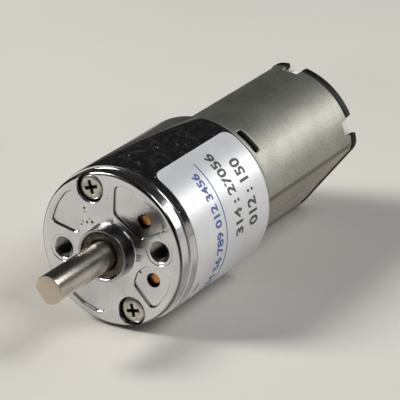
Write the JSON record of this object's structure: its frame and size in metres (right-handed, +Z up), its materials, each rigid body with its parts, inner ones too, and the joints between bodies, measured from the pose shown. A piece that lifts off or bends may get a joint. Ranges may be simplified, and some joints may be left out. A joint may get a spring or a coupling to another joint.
{
  "type": "geared dc motor",
  "caption": "Small round spur gearbox on a flat-sided dc motor can, with a threaded front mounting face and a D-shaped output shaft.",
  "frame": {"origin": "centre of the front mounting face, on the output shaft axis", "axes": "+Y back towards the motor, output shaft towards -Y, +X through one of the two threaded mounting holes, +Z up"},
  "size_m": [0.0251, 0.0774, 0.0251],
  "materials": {
    "plate": "nickel-plated die casting",
    "chrome": "bright chrome plate",
    "label": "satin silver film label",
    "screw": "nickel plate",
    "brass": "turned",
    "bronze": "oil-filled sintered bronze",
    "steel": "ground",
    "gear_steel": "hobbed",
    "can": "satin nickel plate",
    "nylon": "moulded",
    "copper": "bare",
    "lamination": "stamped laminations",
    "ferrite": "sintered ferrite",
    "carbon": "carbon block"
  },
  "bodies": {
    "housing": {"front_plate": "plate", "gear_case_tube": "chrome", "rating_label": "label", "case_screw_1": "screw", "case_screw_2": "screw", "dowel_pin_1": "brass", "dowel_pin_2": "brass", "front_spacer_1": "brass", "front_spacer_2": "brass", "rear_spacer_1": "brass", "rear_spacer_2": "brass", "bearing_bridge": "gear_steel", "output_bush": "bronze", "thrust_washer": "brass", "gear_pin_1": "steel", "gear_pin_2": "steel", "pin_washer": "brass", "pin_sleeve_1": "brass", "pin_sleeve_2": "brass", "pin_sleeve_3": "brass", "rear_plate": "plate", "motor_screw_1": "screw", "motor_screw_2": "screw", "motor_can": "can", "nose_bearing": "bronze", "tail_bearing": "bronze", "end_cap": "nylon", "brush_arm_1": "copper", "brush_arm_2": "copper", "brush_1": "carbon", "brush_2": "carbon", "terminal_1": "brass", "terminal_2": "brass", "magnet_1": "ferrite", "magnet_2": "ferrite", "magnet_clip_1": "steel", "magnet_clip_2": "steel"},
    "output": {"output_shaft": "steel", "output_gear": "gear_steel", "retaining_ring": "steel"},
    "gear_3": {"compound_gear_3": "gear_steel"},
    "gear_2": {"compound_gear_2": "gear_steel"},
    "gear_1": {"compound_gear_1": "gear_steel"},
    "rotor": {"motor_shaft": "steel", "motor_pinion": "brass", "rotor_spacer": "nylon", "armature_core": "lamination", "winding_1": "copper", "winding_2": "copper", "winding_3": "copper", "commutator": "copper"}
  },
  "joints": [
    {"name": "output_spin", "type": "hinge", "parent": "housing", "child": "output", "pos_m": [0, 0, 0], "axis": [0, 1, 0], "continuous": true},
    {"name": "gear_3_spin", "type": "hinge", "parent": "housing", "child": "gear_3", "pos_m": [-0.0052, 0, 0.003], "axis": [0, 1, 0], "continuous": true},
    {"name": "gear_2_spin", "type": "hinge", "parent": "housing", "child": "gear_2", "pos_m": [-0.0052, 0, -0.003], "axis": [0, 1, 0], "continuous": true},
    {"name": "gear_1_spin", "type": "hinge", "parent": "housing", "child": "gear_1", "pos_m": [-0.0052, 0, 0.003], "axis": [0, 1, 0], "continuous": true},
    {"name": "rotor_spin", "type": "hinge", "parent": "housing", "child": "rotor", "pos_m": [0, 0, 0], "axis": [0, 1, 0], "continuous": true}
  ],
  "couplings": [
    {"joint": "gear_3_spin", "follows": "output_spin", "ratio": -2.75},
    {"joint": "gear_2_spin", "follows": "output_spin", "ratio": 7.5625},
    {"joint": "gear_1_spin", "follows": "output_spin", "ratio": -20.797},
    {"joint": "rotor_spin", "follows": "output_spin", "ratio": 57.191}
  ]
}
